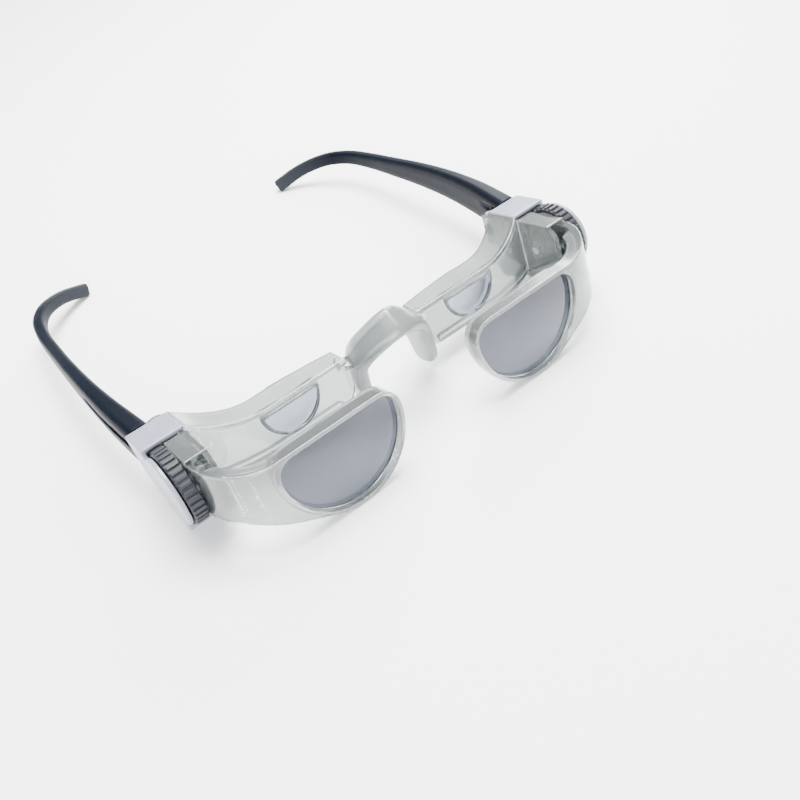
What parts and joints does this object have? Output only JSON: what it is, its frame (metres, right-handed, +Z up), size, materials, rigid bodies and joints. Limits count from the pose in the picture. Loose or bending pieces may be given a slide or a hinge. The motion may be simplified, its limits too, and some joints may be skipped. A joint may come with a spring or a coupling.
{
  "type": "binocular magnifying glasses",
  "caption": "Spectacle-style telescopic magnifier with fixed oculars, sliding objectives focused by side thumbwheels, and folding temples.",
  "frame": {"origin": "middle of the footprint, on the surface that the carriers' rims and the temple tips stand on", "axes": "+X to the wearer's right, +Y forward along the line of sight as seen from above, +Z up"},
  "size_m": [0.1444, 0.165, 0.0316],
  "materials": {
    "frosted_frame": "clear moulded polycarbonate with a frosted face",
    "soft_saddle": "translucent soft silicone, satin",
    "ocular_glass": "polished lens plastic",
    "frosted_carrier": "clear moulded polycarbonate with a frosted wall",
    "objective_glass": "polished, with a faint violet coating",
    "pin_steel": "turned steel",
    "wheel_grey": "ribbed grey plastic",
    "clear_disc": "clear moulded plastic",
    "axle_steel": "turned steel",
    "washer_nylon": "nylon",
    "cover_pearl": "pearl grey lacquer",
    "temple_navy": "satin navy, grey at the tip"
  },
  "bodies": {
    "root": {"rear_frame": "frosted_frame", "nose_saddle": "soft_saddle", "ocular_lens_right": "ocular_glass", "ocular_lens_left": "ocular_glass", "side_cover_right": "cover_pearl", "side_cover_left": "cover_pearl", "wheel_axle_right": "axle_steel", "wheel_axle_left": "axle_steel", "friction_washer_right": "washer_nylon", "friction_washer_left": "washer_nylon", "hinge_pin_right": "pin_steel", "hinge_pin_left": "pin_steel"},
    "right_wheel": {"focus_wheel_right": "wheel_grey", "scroll_disc_right": "clear_disc"},
    "right_objective": {"objective_carrier_right": "frosted_carrier", "objective_lens_right": "objective_glass", "follower_pin_right": "pin_steel"},
    "right_temple": {"temple_right": "temple_navy"},
    "left_wheel": {"focus_wheel_left": "wheel_grey", "scroll_disc_left": "clear_disc"},
    "left_objective": {"objective_carrier_left": "frosted_carrier", "objective_lens_left": "objective_glass", "follower_pin_left": "pin_steel"},
    "left_temple": {"temple_left": "temple_navy"}
  },
  "joints": [
    {"name": "right_focus_turn", "type": "hinge", "parent": "root", "child": "right_wheel", "pos_m": [0.067, 0.05488, 0.01565], "axis": [1, 0, 0], "range_deg": [-140, 140]},
    {"name": "right_focus_slide", "type": "slide", "parent": "root", "child": "right_objective", "axis": [0, 0.9802, 0.198], "range_m": [-0.00194, 0.00194]},
    {"name": "right_temple_fold", "type": "hinge", "parent": "root", "child": "right_temple", "pos_m": [0.0616, 0.03293, 0.01418], "axis": [0, -0.198, 0.9802], "range_deg": [-85, 0]},
    {"name": "left_focus_turn", "type": "hinge", "parent": "root", "child": "left_wheel", "pos_m": [-0.067, 0.05488, 0.01565], "axis": [1, 0, 0], "range_deg": [-140, 140]},
    {"name": "left_focus_slide", "type": "slide", "parent": "root", "child": "left_objective", "axis": [0, 0.9802, 0.198], "range_m": [-0.00194, 0.00194]},
    {"name": "left_temple_fold", "type": "hinge", "parent": "root", "child": "left_temple", "pos_m": [-0.0616, 0.03293, 0.01418], "axis": [0, -0.198, 0.9802], "range_deg": [0, 70]}
  ],
  "couplings": [
    {"joint": "right_focus_turn", "follows": "right_focus_slide", "rad_per_m": -1256.6},
    {"joint": "left_focus_turn", "follows": "left_focus_slide", "rad_per_m": -1256.6}
  ]
}
